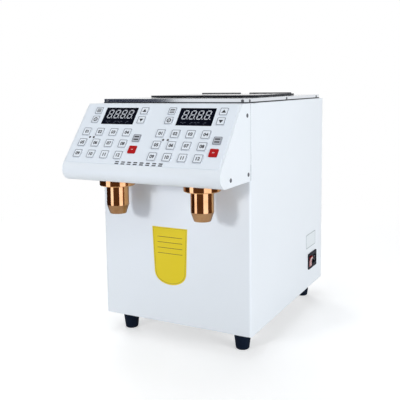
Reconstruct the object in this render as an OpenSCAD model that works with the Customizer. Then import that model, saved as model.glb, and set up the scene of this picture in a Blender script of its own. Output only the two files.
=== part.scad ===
// Two-head fructose dispenser for a drinks counter.
// The floor is z = 0, the front faces -Y, and the origin is under the middle of the whole machine.
// Lengths along the body are measured from its front wall, and heights from the floor.

/* [Body] */
// Width of the body and of the console
body_w = 270; // [240:1:320]
// Depth of the body behind its front wall
body_d = 355; // [330:1:420]
// Height of the body from its bottom edge to its top edge
body_h = 358; // [330:1:420]
// Thickness of the painted steel sheet
sheet_t = 1.2; // [0.8:0.1:2]
// Outside radius of the two upright front folds
corner_r = 4; // [3:0.5:8]
// Width of the folded edges that the other panels are screwed to
flange_w = 12; // [8:0.5:16]
// Thickness of the base plate
base_t = 2; // [1.5:0.1:3]

/* [Console] */
// How far the console stands out in front of the body
hood_reach = 104; // [95:1:125]
// Height of the console
hood_h = 115; // [105:1:130]
// Depth of the level strip behind the key panel
hood_top = 31; // [24:1:36]
// Radius of the rounded front edge
nose_r = 17; // [10:1:22]
// Thickness of the console's sheet
hood_t = 1.5; // [1:0.1:2]
// Depth of the folded edge under the nose
lip_d = 12; // [6:1:20]
// Height of the side edges of the console floor
floor_edge_h = 12; // [8:1:18]

/* [Key panel] */
// Thickness of the key film
film_t = 0.8; // [0.5:0.1:1.2]
// Bare edge between the film and the console's outline
film_edge = 4; // [3:0.5:8]
// Bare strip between the outer keys and the console's side
keypad_edge = 13.4; // [12.6:0.1:16]
// Bare strip between the two keypads
keypad_between = 24.8; // [22:0.2:30]
// Width and height of a portion key
key_w = 14; // [11:0.5:15]
// Width and height of a key that is not a portion key
aux_w = 13; // [10:0.5:14]
// Corner radius of a key
key_r = 1.5; // [0.8:0.1:2.5]
// Distance from the last portion column to the grey and red keys
aux_step = 20.7; // [18:0.1:22]
// Distance from the last key row to the end of the slope
last_row_in = 16.4; // [14:0.1:18]
// How far a key stands out of the film
key_proud = 1; // [0.6:0.1:2]
// How far a key travels when it is pressed
key_travel = 0.5; // [0.2:0.1:1]
// Clearance round a key in its window
key_gap = 0.3; // [0.2:0.05:0.6]
// Space between a display window and the keys beside it
display_room = 6.6; // [4.5:0.1:10]
// Height of a display window
display_h = 31.4; // [26:0.2:32]
// Middle of a display window, down the slope
display_s = 24; // [23:0.5:26]
// Depth of the control board below the console's sheet
board_depth = 11; // [10:0.5:14]
// Thickness of the control board
board_t = 1.6; // [1:0.1:2.4]

/* [Top deck and lids] */
// Height of the stainless deck above the body
deck_h = 7; // [5:0.5:10]
// Thickness of the stainless sheet
steel_t = 1.2; // [0.8:0.1:1.6]
// Step between the body's sides and the deck
deck_step = 5; // [3:0.5:8]
// Strip of deck beside a lid
lid_side = 28; // [20:1:38]
// Distance from the body's back to the lids
lid_back = 71; // [55:1:90]
// Height of a lid
lid_h = 3; // [2.5:0.1:5]
// Distance from the body's front wall to the lids
lid_front = 102; // [80:1:120]
// Space between the two lids
lid_between = 4; // [3:0.5:10]
// How far a lid laps over the edge of its fill opening
lid_lap = 5; // [4:0.5:10]
// Radius of a lid hinge barrel
hinge_r = 2.5; // [2.2:0.1:3.5]
// Radius of a lid hinge pin
hinge_pin_r = 1.4; // [1:0.1:1.6]

/* [Tanks] */
// Space between the rim of a tank and the inside of the deck
tank_side = 8.8; // [4:0.2:12]
// Distance from the body's back to the tanks
tank_back = 30; // [20:1:60]
// Height of a tank's floor above the pump heads
tank_rise = 50.6; // [40:0.2:100]
// Thickness of a tank wall
tank_t = 1; // [0.8:0.1:2]
// Distance from the body's front wall to the tanks
tank_front = 45; // [43:1:55]
// Corner radius of a tank
tank_r = 12; // [6:1:20]
// Width of the rim that carries a tank
rim_w = 4; // [3:0.5:4.5]
// Space between the rims of the two tanks
tank_between = 4; // [2:0.5:6]

/* [Nozzles and hoses] */
// Distance from the console's side to the middle of a nozzle
nozzle_edge = 59.5; // [50:0.5:65]
// Distance from the body's front wall to a nozzle
nozzle_out = 43; // [40:0.5:50]
// Radius of the nozzle flange
nozzle_flange_r = 28; // [22:0.5:32]
// Height of the nozzle flange
nozzle_flange_h = 12.5; // [8:0.5:16]
// Radius of the nozzle barrel
nozzle_r = 17.5; // [15:0.5:20]
// Height of the nozzle barrel
nozzle_barrel_h = 31; // [20:1:45]
// Radius of the nozzle tip
nozzle_tip_r = 13; // [11:0.5:15]
// Height of the nozzle's tapered tip
nozzle_tip_h = 13.5; // [8:0.5:20]
// Radius of the outlet bore
outlet_r = 8; // [5:0.5:9]
// Depth of the outlet bore
outlet_h = 27; // [15:1:35]
// Radius of the threaded neck above the flange
neck_r = 12; // [10:0.5:14]
// Inside radius of a hose
hose_r = 4.5; // [4:0.25:6]
// Wall of a hose
hose_wall = 2.5; // [1.5:0.25:3]
// Bend radius of a hose
hose_bend = 15; // [13:1:17]
// Height of the hoses' crossing above the console floor
hose_rise = 54; // [50:1:56]

/* [Pumps] */
// Width of a pump head
pump_w = 44; // [36:1:50]
// Length of a pump head
pump_l = 36; // [28:1:44]
// Height of a pump head
pump_h = 50; // [44:1:54]
// Height of the pump shafts above the base plate
shaft_h = 30; // [28:1:34]
// Radius of a pump shaft
shaft_r = 3; // [2.5:0.25:4]
// Space between a pump head and its motor
coupling_space = 30; // [26:1:36]
// Radius of a shaft coupling
coupling_r = 10; // [8:0.5:12]
// Radius of a motor
motor_r = 20; // [16:1:22]
// Length of a motor
motor_l = 62; // [50:1:70]
// Distance from the body's front wall to a pump head
pump_front = 62; // [60:1:66]

/* [Power] */
// Width of the power inlet's face
inlet_w = 47; // [46:1:52]
// Height of the power inlet's face
inlet_h = 30; // [29:1:34]
// Thickness of the power inlet's face
inlet_t = 2; // [1.5:0.1:3]
// Depth of the power inlet inside the wall
inlet_d = 28; // [24:1:34]
// Distance from the body's back to the middle of the inlet
inlet_back = 60; // [55:1:70]
// Height of the middle of the inlet above the body's bottom edge
inlet_up = 49.5; // [40:0.5:80]
// Tilt of the rocker to each side of level
rocker_tilt = 9; // [6:1:12]
// Length of the power supply
supply_l = 110; // [90:1:120]
// Width of the power supply
supply_w = 96; // [80:1:98]
// Height of the power supply
supply_h = 38; // [30:1:60]

/* [Feet] */
// Height of a foot
foot_h = 33; // [20:1:45]
// Radius of a foot where it meets the base
foot_top_r = 15; // [12:0.5:20]
// Radius of a foot where it meets the floor
foot_r = 11; // [9:0.5:16]
// Distance from the body's side to the middle of a foot
foot_side = 29; // [23:1:45]
// Distance from the body's front and back to the middle of a foot
foot_inset = 32; // [24:1:45]

/* [Hidden] */
$fn = 48;
// Clearance of a turning pin, and of pieces of one body that slide together
running = 0.05;
slip = 0.3;
// Length by which a cutting shape runs past what it cuts
over = 1;

front_y = (hood_reach - body_d) / 2;
base_z = foot_h;
top_z = base_z + body_h;
plate_z = base_z + sheet_t;
hood_z = top_z - hood_h;
deck_z = top_z + deck_h;

// The console's slope: its angle from level and its length down to the nose
nose_y = hood_reach - nose_r;
slope_run = nose_y - hood_top;
slope_drop = hood_h - nose_r;
slope_reach = norm([slope_run, slope_drop]);
slope_a = atan(slope_drop / slope_run) - asin(nose_r / slope_reach);
slope_len = sqrt(pow(slope_reach, 2) - pow(nose_r, 2));

// Keys: their names, then their places on a keypad
key_names = ["01", "02", "03", "04", "05", "06", "07", "08", "09", "10", "11", "12",
    "up", "down", "set", "mode", "grey", "red"];
portion_keys = 12;
portion_cols = 4;
// Columns, from the middle of a keypad's half of the console
keypad_w = (body_w - keypad_between) / 2 - keypad_edge;
keypad_pitch = keypad_w + keypad_between;
keypad_shift = 0.4;
first_col = keypad_shift - (keypad_w - key_w) / 2;
last_aux_x = keypad_shift + (keypad_w - aux_w) / 2;
col_pitch = (last_aux_x - aux_step - first_col) / (portion_cols - 1);
left_aux_in = 6.3;
right_aux_in = 4.2;
left_aux_x = first_col + left_aux_in;
right_aux_x = last_aux_x - right_aux_in;
// Rows, down the slope. The first lies three quarters of a pitch below the display
portion_rows = portion_keys / portion_cols;
first_gap = 0.75;
display_end = display_s + display_h / 2;
row_pitch = (slope_len - last_row_in - display_end) / (portion_rows - 1 + first_gap);
first_row = display_end + first_gap * row_pitch;
aux_row_a = 14.5;
aux_row_b = 31.5;
grey_row = first_row + row_pitch / 2 - 0.6;
red_row = grey_row + row_pitch;
aux_x = [right_aux_x, right_aux_x, left_aux_x, left_aux_x, last_aux_x, last_aux_x];
aux_s = [aux_row_a, aux_row_b, aux_row_a, aux_row_b, grey_row, red_row];
key_flange = 1;
key_flange_t = 1;
stem_r = 2;
switch_w = 6;
switch_h = 5;
display_x = (left_aux_x + right_aux_x) / 2;
display_w = right_aux_x - left_aux_x - aux_w - 2 * display_room;
display_flange = 2;
display_block_side = 4.5;
display_block_end = 6.2;
film_top = film_edge / 2;
film_len = slope_len - 1;
// Opening in the console's sheet round one keypad, and the room it leaves round a key
window_room = 1;
window_top = 5;
window_bottom = first_row + (portion_rows - 1) * row_pitch + key_w / 2 + key_flange + window_room;
window_l = first_col - key_w / 2 - key_flange - window_room;
window_r = last_aux_x + aux_w / 2 + key_flange + window_room;
stud_r = 2.2;
stud_end = 17.6;
stud_rows = [12, slope_len - stud_end];
stud_x = body_w / 2 - hood_t - stud_r - 1;
board_side = 3;
board_end = 6;

inner_w = body_w - 2 * sheet_t;
deck_w = body_w - 2 * deck_step;
deck_d = body_d - deck_step;
lid_w = (deck_w - lid_between) / 2 - lid_side;
lid_d = body_d - lid_front - lid_back;
lid_x = (lid_w + lid_between) / 2;
hinge_y = front_y + lid_front + lid_d + hinge_r + 0.5;
hinge_z = deck_z + slip + hinge_r;
hinge_inset = 20;
knuckle_w = lid_w - 2 * hinge_inset;
ear_w = 12;
mouth_w = lid_w - 2 * lid_lap;
mouth_d = lid_d - 2 * lid_lap;
tank_w = deck_w / 2 - steel_t - tank_side - tank_between / 2 - 2 * rim_w;
tank_d = body_d - tank_front - tank_back;
tank_x = tank_between / 2 + rim_w + tank_w / 2;
pump_top_z = plate_z + base_t + pump_h;
tank_z = pump_top_z + tank_rise;
tank_h = deck_z - steel_t - tank_z;
barb_r = hose_r - running;
barb_l = 14;
spout_gap = 12;
nozzle_neck_h = 12;
hose_out_r = hose_r + hose_wall;
cross_z = hood_z + hose_rise;
riser_in = 25;
riser_y = front_y + riser_in;
nozzle_x = body_w / 2 - nozzle_edge;
nozzle_y = front_y - nozzle_out;
inner_bore_r = hose_r - 1.5;
bracket_w = 52;
bracket_t = 2;
boss_l = 3;
shaft_z = plate_z + base_t + shaft_h;
pump_y = front_y + pump_front;
coupling_y = pump_y + pump_l;
motor_y = coupling_y + coupling_space;
gearhead_l = 20;
bearing_depth = 10;
end_play = 1;
tank_outlet_y = pump_y + pump_l / 2;
inlet_y = front_y + body_d - inlet_back;
inlet_z = base_z + inlet_up;
wall_x = body_w / 2;
// Rocker: its size, its pin, its middle and the edge left in front of it
rocker_w = 13;
rocker_l = 18.6;
rocker_pin_r = 1.2;
rocker_pin_l = 1.3;
rocker_edge = 3.5;
rocker_y = inlet_y - inlet_w / 2 + rocker_edge + rocker_w / 2;
rocker_x = wall_x + inlet_t - 3;
// Socket: the opening for a plug, and the edge left behind it
socket_w = 24.4;
socket_h = 16.4;
socket_depth = 17;
socket_edge = 2.5;
socket_x = wall_x + inlet_t - socket_depth;
socket_y = inlet_y + inlet_w / 2 - socket_edge - socket_w / 2;
socket_chamfer = 5;
inlet_lap = 2;
rocker_well = 8;
// The three blades in the socket: size, spacing and how far they lie off its middle line
blade_w = 2;
blade_h = 4;
blade_l = 12;
blade_pitch = 7;
blade_low = 2;
blade_high = 2.5;
// Power supply: its room at the back, the step at its front and the terminal block on it
supply_gap = 8;
supply_step = 5;
supply_step_d = 14;
supply_step_h = 16;
terminal_d = 9;
terminal_h = 8;
foot_x = body_w / 2 - foot_side;
foot_rear_y = front_y + body_d - foot_inset;
foot_stud_r = 2.6;
foot_stud_head = 4.5;
// Vent slots in the back and in the base
vent_up = 70;
vent_w = 4;
back_vent_h = 28;
back_vent_pitch = 9;
back_vent_row = 36;
base_vent_h = 22;
base_vent_pitch = 11;
base_vent_row = 30;

// Helpers

// A rectangle with round corners, centred
module rounded(w, d, r) {
    square([w - 2 * r, d], center = true);
    square([w, d - 2 * r], center = true);
    for (x = [-1, 1], y = [-1, 1]) {
        translate([x * (w / 2 - r), y * (d / 2 - r)]) circle(r);
    }
}

// Carries a flat shape drawn in (y, z) along X, centred on the machine
module along_x(w) {
    translate([-w / 2, 0, 0]) rotate([90, 0, 90]) linear_extrude(w) children();
}

// Puts the two mirrored copies of a left-hand piece in place
module both_sides() {
    children();
    mirror([1, 0, 0]) children();
}

// The frame of the console's slope: x across, -y down the slope, +z out of it
module on_slope() {
    translate([0, front_y - hood_top, top_z]) rotate([slope_a, 0, 0]) children();
}

// A cylinder along Y that starts at y = 0
module bar_y(r, l) {
    rotate([-90, 0, 0]) cylinder(r = r, h = l);
}

function key_x(i) = i < portion_keys ? first_col + (i % portion_cols) * col_pitch
    : aux_x[i - portion_keys];
function key_s(i) = i < portion_keys ? first_row + floor(i / portion_cols) * row_pitch
    : aux_s[i - portion_keys];
function key_size(i) = i < portion_keys ? key_w : aux_w;
function side_x(side) = side * keypad_pitch / 2;

// Body

// The outline of the body wrap seen from above: front folds round, back open
module body_outline(inset) {
    w = body_w - 2 * inset;
    r = corner_r - inset;
    translate([-w / 2, front_y + inset + r]) square([w, body_d - inset - r + over * sign(inset)]);
    translate([-w / 2 + r, front_y + inset]) square([w - 2 * r, 2 * r]);
    for (x = [-1, 1]) translate([x * (w / 2 - r), front_y + inset + r]) circle(r);
}

module body_shell() {
    color("whitesmoke") difference() {
        translate([0, 0, base_z]) linear_extrude(body_h) difference() {
            body_outline(0);
            translate([-body_w / 2, front_y + body_d - sheet_t])
                square([body_w, sheet_t + over]);
        }
        // the inside, open at the back between the two rear flanges
        translate([0, 0, plate_z]) linear_extrude(body_h - 2 * sheet_t) difference() {
            body_outline(sheet_t);
            for (x = [-1, 1]) {
                translate([x * (body_w - flange_w) / 2, front_y + body_d - 1.5 * sheet_t])
                    square([flange_w, sheet_t], center = true);
            }
            translate([-body_w / 2, front_y + body_d - sheet_t])
                square([body_w, 2 * over]);
        }
        // the way in from above and below, inside the folded edges
        translate([0, front_y + body_d / 2, base_z - over]) linear_extrude(body_h + 2 * over)
            square([body_w - 2 * flange_w, body_d - 2 * flange_w], center = true);
        translate([-body_w / 2 + flange_w, front_y + body_d / 2, base_z - over])
            cube([body_w - 2 * flange_w, body_d, body_h + 2 * over]);
        // holes for the hoses and the wiring into the console
        for (x = [-nozzle_x, 0, nozzle_x]) {
            translate([x, front_y - over, cross_z]) bar_y(hose_out_r + 2, sheet_t + 2 * over);
        }
        // cut-out for the power inlet
        translate([wall_x - sheet_t - over, inlet_y - inlet_w / 2 + inlet_lap,
            inlet_z - inlet_h / 2 + inlet_lap])
            cube([sheet_t + 2 * over, inlet_w - 2 * inlet_lap, inlet_h - 2 * inlet_lap]);
    }
}

// A block of upright vent slots, drawn flat
module vents(cols, rows, pitch_x, pitch_y, slot_w, slot_h) {
    for (i = [0 : cols - 1], j = [0 : rows - 1]) {
        translate([(i - (cols - 1) / 2) * pitch_x, (j - (rows - 1) / 2) * pitch_y])
            rounded(slot_w, slot_h, slot_w / 2 - 0.01);
    }
}

module rear_panel() {
    color("whitesmoke") {
        translate([0, front_y + body_d, base_z]) rotate([90, 0, 0]) linear_extrude(sheet_t)
            difference() {
                translate([-body_w / 2, 0]) square([body_w, body_h]);
                for (x = [-1, 1]) {
                    translate([x * body_w / 4, vent_up])
                        vents(9, 2, back_vent_pitch, back_vent_row, vent_w, back_vent_h);
                }
            }
        translate([-body_w / 2 + flange_w + slip, front_y + body_d - flange_w, top_z - sheet_t])
            cube([body_w - 2 * flange_w - 2 * slip, flange_w - sheet_t / 2, sheet_t]);
    }
}

module base_plate() {
    w = inner_w - 2 * slip;
    d = body_d - 3 * sheet_t - 2 * slip;
    r = corner_r - sheet_t;
    color("gainsboro") translate([0, 0, plate_z]) linear_extrude(base_t) difference() {
        translate([0, front_y + sheet_t + slip + d / 2]) rounded(w, d, r);
        for (y = [front_y + foot_inset, foot_rear_y]) {
            for (x = [-1, 1]) translate([x * foot_x, y]) circle(foot_stud_r + running);
        }
        translate([0, front_y + body_d / 3])
            vents(6, 3, base_vent_pitch, base_vent_row, vent_w, base_vent_h);
    }
}

// Top deck, lids and tanks

module mouth_cut() {
    translate([lid_x, front_y + lid_front + lid_d / 2, deck_z - steel_t - over])
        linear_extrude(steel_t + 2 * over) rounded(mouth_w, mouth_d, 6);
}

// The two ears that hold a lid's pin
module deck_ears() {
    for (x = [-1, 1]) {
        translate([lid_x + x * (knuckle_w / 2 + slip + ear_w / 2), hinge_y, hinge_z]) {
            difference() {
                union() {
                    rotate([0, 90, 0]) cylinder(r = hinge_r, h = ear_w, center = true);
                    translate([-ear_w / 2, -hinge_r, deck_z - hinge_z])
                        cube([ear_w, 2 * hinge_r, hinge_z - deck_z]);
                }
                rotate([0, 90, 0])
                    cylinder(r = hinge_pin_r + running, h = ear_w + 2 * over, center = true);
            }
        }
    }
}

module top_deck() {
    r = 3;
    color("silver") {
        difference() {
            translate([0, front_y + deck_d / 2, top_z]) linear_extrude(deck_h)
                rounded(deck_w, deck_d, r);
            translate([0, front_y + deck_d / 2, top_z - over])
                linear_extrude(deck_h - steel_t + over)
                rounded(deck_w - 2 * steel_t, deck_d - 2 * steel_t, r - steel_t);
            both_sides() mouth_cut();
        }
        both_sides() deck_ears();
    }
}

// One lid, drawn on the right-hand side
module lid() {
    pin_l = knuckle_w + 2 * ear_w - 2;
    color("lightgray") {
        difference() {
            translate([lid_x, front_y + lid_front + lid_d / 2, deck_z + slip])
                linear_extrude(lid_h) rounded(lid_w, lid_d, 4);
            translate([lid_x, front_y + lid_front + lid_d / 2, deck_z + slip - over])
                linear_extrude(lid_h - steel_t + over)
                rounded(lid_w - 2 * steel_t, lid_d - 2 * steel_t, 4 - steel_t);
        }
        // turned lip along the front edge, to lift the lid by
        translate([lid_x - lid_w / 4, front_y + lid_front - 4, deck_z + slip + lid_h - steel_t])
            cube([lid_w / 2, 4 + steel_t, steel_t]);
        // hinge leaf, barrel and pin
        translate([lid_x - knuckle_w / 2, hinge_y - hinge_r - 1.5, hinge_z - steel_t / 2])
            cube([knuckle_w, hinge_r + 1.5, steel_t]);
        translate([lid_x, hinge_y, hinge_z]) rotate([0, 90, 0])
            cylinder(r = hinge_r, h = knuckle_w, center = true);
        translate([lid_x, hinge_y, hinge_z]) rotate([0, 90, 0])
            cylinder(r = hinge_pin_r, h = pin_l, center = true);
    }
}

// One tank, drawn on the right-hand side: open box, rim and outlet spout
module tank() {
    spout_z = pump_top_z + barb_l + spout_gap;
    color("silver") difference() {
        union() {
            translate([tank_x, front_y + tank_front + tank_d / 2, tank_z])
                linear_extrude(tank_h) rounded(tank_w, tank_d, tank_r);
            translate([tank_x, front_y + tank_front + tank_d / 2, deck_z - steel_t - tank_t])
                linear_extrude(tank_t)
                rounded(tank_w + 2 * rim_w, tank_d + 2 * rim_w, tank_r + rim_w);
            translate([nozzle_x, tank_outlet_y, spout_z])
                cylinder(r = barb_r, h = tank_z - spout_z + tank_t / 2);
        }
        translate([tank_x, front_y + tank_front + tank_d / 2, tank_z + tank_t])
            linear_extrude(tank_h)
            rounded(tank_w - 2 * tank_t, tank_d - 2 * tank_t, tank_r - tank_t);
        translate([nozzle_x, tank_outlet_y, spout_z - over])
            cylinder(r = inner_bore_r, h = tank_h);
    }
}

// Console

// The console's side view in (y, z), from its top rear corner, shrunk by inset
module hood_outline(inset, rear) {
    r = nose_r - inset;
    union() {
        polygon([
            [rear, -inset],
            [-hood_top + inset * tan(slope_a / 2), -inset],
            [-nose_y - r * sin(slope_a), -slope_drop + r * cos(slope_a)],
            [-nose_y, -slope_drop],
            [-nose_y, -hood_h + inset],
            [rear, -hood_h + inset]
        ]);
        translate([-nose_y, -slope_drop]) circle(r);
    }
}

// The opening in the console's sheet under one keypad
module keypad_window(side) {
    translate([side_x(side) + window_l, -window_bottom, -hood_t - over])
        cube([window_r - window_l, window_bottom - window_top, hood_t + 2 * over]);
}

module console_hood() {
    color("white") {
        difference() {
            translate([0, front_y, top_z]) along_x(body_w) hood_outline(0, 0);
            translate([0, front_y, top_z]) along_x(body_w - 2 * hood_t)
                hood_outline(hood_t, over);
            // the floor's opening, behind the lip under the nose
            translate([-body_w / 2 + hood_t, front_y - nose_y + lip_d, hood_z - over])
                cube([body_w - 2 * hood_t, nose_y - lip_d + over, 2 * hood_t + over]);
            on_slope() for (side = [-1, 1]) keypad_window(side);
        }
        // studs that carry the control board
        on_slope() for (x = [-stud_x, 0, stud_x], s = stud_rows) {
            translate([x, -s, -hood_t - board_depth])
                cylinder(r = stud_r, h = board_depth + hood_t / 2);
        }
    }
}

module console_floor() {
    w = body_w - 2 * hood_t - 2 * running;
    d = nose_y - lip_d - slip;
    color("white") difference() {
        translate([-w / 2, front_y - d, hood_z]) cube([w, d, floor_edge_h]);
        translate([-w / 2 + hood_t, front_y - d - over, hood_z + hood_t])
            cube([w - 2 * hood_t, d + 2 * over, floor_edge_h]);
        for (x = [-1, 1]) {
            translate([x * nozzle_x, nozzle_y, hood_z - over])
                cylinder(r = neck_r + slip, h = hood_t + 2 * over);
        }
    }
}

module key_shape(w) {
    rounded(w, w, key_r);
}

// The printed film over the slope, with a window for each key and display
module key_film() {
    color("aliceblue") on_slope() linear_extrude(film_t) difference() {
        translate([0, -(film_top + film_len) / 2])
            rounded(body_w - 2 * film_edge, film_len - film_top, 3);
        for (side = [-1, 1]) {
            for (i = [0 : len(key_names) - 1]) {
                translate([side_x(side) + key_x(i), -key_s(i)])
                    rounded(key_size(i) + 2 * key_gap, key_size(i) + 2 * key_gap, key_r + key_gap);
            }
            translate([side_x(side) + display_x, -display_s])
                square([display_w, display_h], center = true);
        }
    }
}

// The two smoked windows, held by a flange under the film
module display_windows() {
    color("black") on_slope() for (side = [-1, 1]) {
        translate([side_x(side) + display_x, -display_s]) {
            linear_extrude(film_t)
                square([display_w - 2 * running, display_h - 2 * running], center = true);
            translate([0, 0, -hood_t]) linear_extrude(hood_t)
                square([display_w + 2 * display_flange, display_h + 2 * display_flange],
                    center = true);
        }
    }
}

// The board behind the slope, with its push switches and display blocks
module control_board() {
    top = -hood_t - board_depth;
    block_h = board_depth - slip;
    color("seagreen") on_slope() {
        translate([0, -(stud_rows[0] + stud_rows[1]) / 2, top - board_t])
            linear_extrude(board_t)
            rounded(2 * (stud_x + board_side), stud_rows[1] - stud_rows[0] + 2 * board_end, 2);
        for (side = [-1, 1]) {
            for (i = [0 : len(key_names) - 1]) {
                translate([side_x(side) + key_x(i), -key_s(i), top + switch_h / 2])
                    cube([switch_w, switch_w, switch_h + 0.2], center = true);
            }
            translate([side_x(side) + display_x, -display_s, top + block_h / 2])
                cube([display_w - 2 * display_block_side, display_h - 2 * display_block_end,
                    block_h], center = true);
        }
    }
}

// One key: cap, retaining flange under the film and the stem to its switch
module key(side, i) {
    size = key_size(i);
    flange_z = -slip - key_flange_t;
    stem_z = -hood_t - board_depth + switch_h + 0.1 + key_travel + slip;
    color(i == 17 ? "firebrick" : i == 16 ? "darkgray" : "white")
        on_slope() translate([side_x(side) + key_x(i), -key_s(i)]) {
            translate([0, 0, flange_z]) linear_extrude(film_t + key_proud - flange_z)
                key_shape(size);
            translate([0, 0, flange_z]) linear_extrude(key_flange_t)
                rounded(size + 2 * key_flange, size + 2 * key_flange, key_r);
            translate([0, 0, stem_z]) cylinder(r = stem_r, h = flange_z - stem_z + 0.5);
        }
}

// Nozzles and hoses

// One brass nozzle with its lock nut, drawn on the right-hand side
module nozzle() {
    tip_z = -nozzle_flange_h - nozzle_barrel_h - nozzle_tip_h;
    barrel_z = -nozzle_flange_h - nozzle_barrel_h;
    nut_h = 7;
    nut_r = 17;
    barb_top = 30;
    translate([nozzle_x, nozzle_y, hood_z]) {
        color("peru") rotate_extrude($fn = 64) polygon([
            [outlet_r, tip_z],
            [nozzle_tip_r, tip_z],
            [nozzle_r, barrel_z],
            [nozzle_r, -nozzle_flange_h],
            [nozzle_flange_r - 1, -nozzle_flange_h],
            [nozzle_flange_r, -nozzle_flange_h + 1],
            [nozzle_flange_r, -1],
            [nozzle_flange_r - 1, 0],
            [neck_r, 0],
            [neck_r, nozzle_neck_h],
            [barb_r, nozzle_neck_h],
            [barb_r, barb_top],
            [inner_bore_r, barb_top],
            [inner_bore_r, tip_z + outlet_h],
            [outlet_r, tip_z + outlet_h]
        ]);
        color("goldenrod") translate([0, 0, hood_t]) difference() {
            cylinder(r = nut_r, h = nut_h, $fn = 6);
            translate([0, 0, -over]) cylinder(r = neck_r + running, h = nut_h + 2 * over);
        }
    }
}

// A quarter bend of hose in the (y, z) plane, which starts at the origin along +Y and turns up
module hose_bend_up() {
    translate([0, 0, hose_bend]) rotate([90, 0, 90]) rotate([0, 0, -90])
        rotate_extrude(angle = 90) translate([hose_bend, 0]) difference() {
            circle(hose_out_r);
            circle(hose_r);
        }
}

module hose_run(l) {
    difference() {
        cylinder(r = hose_out_r, h = l);
        translate([0, 0, -over]) cylinder(r = hose_r, h = l + 2 * over);
    }
}

// The feed hose from the tank to the pump, and the long hose from the pump to the nozzle
module hose_pair() {
    pump_end = pump_y - 2;
    lower_z = shaft_z;
    nozzle_end = hood_z + nozzle_neck_h + 2;
    translate([nozzle_x, tank_outlet_y, pump_top_z + 1]) hose_run(tank_z - pump_top_z - 2);
    translate([nozzle_x, pump_end, lower_z]) rotate([90, 0, 0])
        hose_run(pump_end - riser_y - hose_bend);
    translate([nozzle_x, riser_y + hose_bend, lower_z]) mirror([0, 1, 0]) hose_bend_up();
    translate([nozzle_x, riser_y, lower_z + hose_bend])
        hose_run(cross_z - lower_z - 2 * hose_bend);
    translate([nozzle_x, riser_y - hose_bend, cross_z]) mirror([0, 0, 1]) hose_bend_up();
    translate([nozzle_x, riser_y - hose_bend, cross_z]) rotate([90, 0, 0])
        hose_run(riser_y - nozzle_y - 2 * hose_bend);
    translate([nozzle_x, nozzle_y + hose_bend, cross_z]) mirror([0, 0, 1])
        mirror([0, 1, 0]) hose_bend_up();
    translate([nozzle_x, nozzle_y, nozzle_end]) hose_run(cross_z - hose_bend - nozzle_end);
}

module hoses() {
    color("lightcyan") both_sides() hose_pair();
}

// Pumps

// One gear pump with its motor on a shared bracket, drawn on the right-hand side
module pump() {
    floor_z = plate_z + base_t;
    cap_r = 6;
    cap_l = 5;
    gallery = 8;
    translate([nozzle_x, 0, 0]) color("dimgray") difference() {
        union() {
            // bracket
            translate([-bracket_w / 2, pump_y, floor_z])
                cube([bracket_w, motor_y + gearhead_l - pump_y, bracket_t]);
            translate([-bracket_w / 2, motor_y - bracket_t, floor_z])
                cube([bracket_w, bracket_t, shaft_h + motor_r]);
            // pump head
            translate([0, pump_y + pump_l / 2, floor_z]) linear_extrude(pump_h)
                rounded(pump_w, pump_l, 5);
            translate([0, coupling_y - over, shaft_z]) bar_y(coupling_r, boss_l + over);
            // ports: up to the tank, forward to the nozzle
            translate([0, tank_outlet_y, pump_top_z - over]) cylinder(r = barb_r, h = barb_l + over);
            translate([0, pump_y - barb_l, shaft_z]) bar_y(barb_r, barb_l + over);
            // gearhead and motor
            translate([0, motor_y + gearhead_l / 2, shaft_z]) rotate([90, 0, 0])
                linear_extrude(gearhead_l, center = true) rounded(2 * motor_r, 2 * motor_r, 4);
            translate([0, motor_y + gearhead_l - over, shaft_z])
                bar_y(motor_r - 1, motor_l + over);
            translate([0, motor_y + gearhead_l + motor_l - over, shaft_z]) bar_y(cap_r, cap_l + over);
        }
        translate([0, coupling_y + boss_l - bearing_depth, shaft_z])
            bar_y(shaft_r + running, bearing_depth + over);
        translate([0, motor_y - bracket_t - over, shaft_z])
            bar_y(shaft_r + running, bracket_t + bearing_depth + over);
        translate([0, tank_outlet_y, pump_top_z - gallery])
            cylinder(r = inner_bore_r, h = barb_l + gallery + over);
        translate([0, pump_y - barb_l - over, shaft_z]) bar_y(inner_bore_r, barb_l + gallery);
    }
}

// One jaw coupling with the two shaft ends that it joins, drawn on the right-hand side
module coupling() {
    end_gap = 2.5;
    hub_start = coupling_y + boss_l + end_gap;
    hub_end = motor_y - bracket_t - end_gap;
    shaft_start = coupling_y + boss_l - bearing_depth + end_play;
    shaft_end = motor_y + bearing_depth - end_play;
    jaw_w = 2.5;
    jaw_depth = 3;
    middle = (hub_start + hub_end) / 2;
    translate([nozzle_x, 0, shaft_z]) color("slategray") {
        translate([0, shaft_start, 0]) bar_y(shaft_r, shaft_end - shaft_start);
        difference() {
            translate([0, hub_start, 0]) bar_y(coupling_r, hub_end - hub_start);
            for (turn = [0, 60, 120]) {
                translate([0, middle, 0]) rotate([0, turn, 0])
                    for (x = [-1, 1]) {
                        translate([x * (coupling_r - jaw_depth / 2), 0, 0])
                            cube([jaw_depth + over, 2 * jaw_w, jaw_w], center = true);
                    }
            }
        }
    }
}

// Power

// The closed power supply, with a terminal block on a step at its front
module power_supply() {
    x0 = -5;
    y0 = front_y + body_d - flange_w - supply_l - supply_gap;
    z0 = plate_z + base_t;
    step_w = supply_w - 2 * supply_step;
    block_w = step_w - 2 * supply_step;
    color("lightgray") difference() {
        translate([x0 - supply_w / 2, y0, z0]) cube([supply_w, supply_l, supply_h]);
        translate([x0 - step_w / 2, y0 - over, z0 + supply_h - supply_step_h])
            cube([step_w, supply_step_d + over, supply_step_h + over]);
    }
    color("black") translate([x0 - block_w / 2, y0 + 2, z0 + supply_h - supply_step_h])
        cube([block_w, terminal_d, terminal_h]);
}

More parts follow.
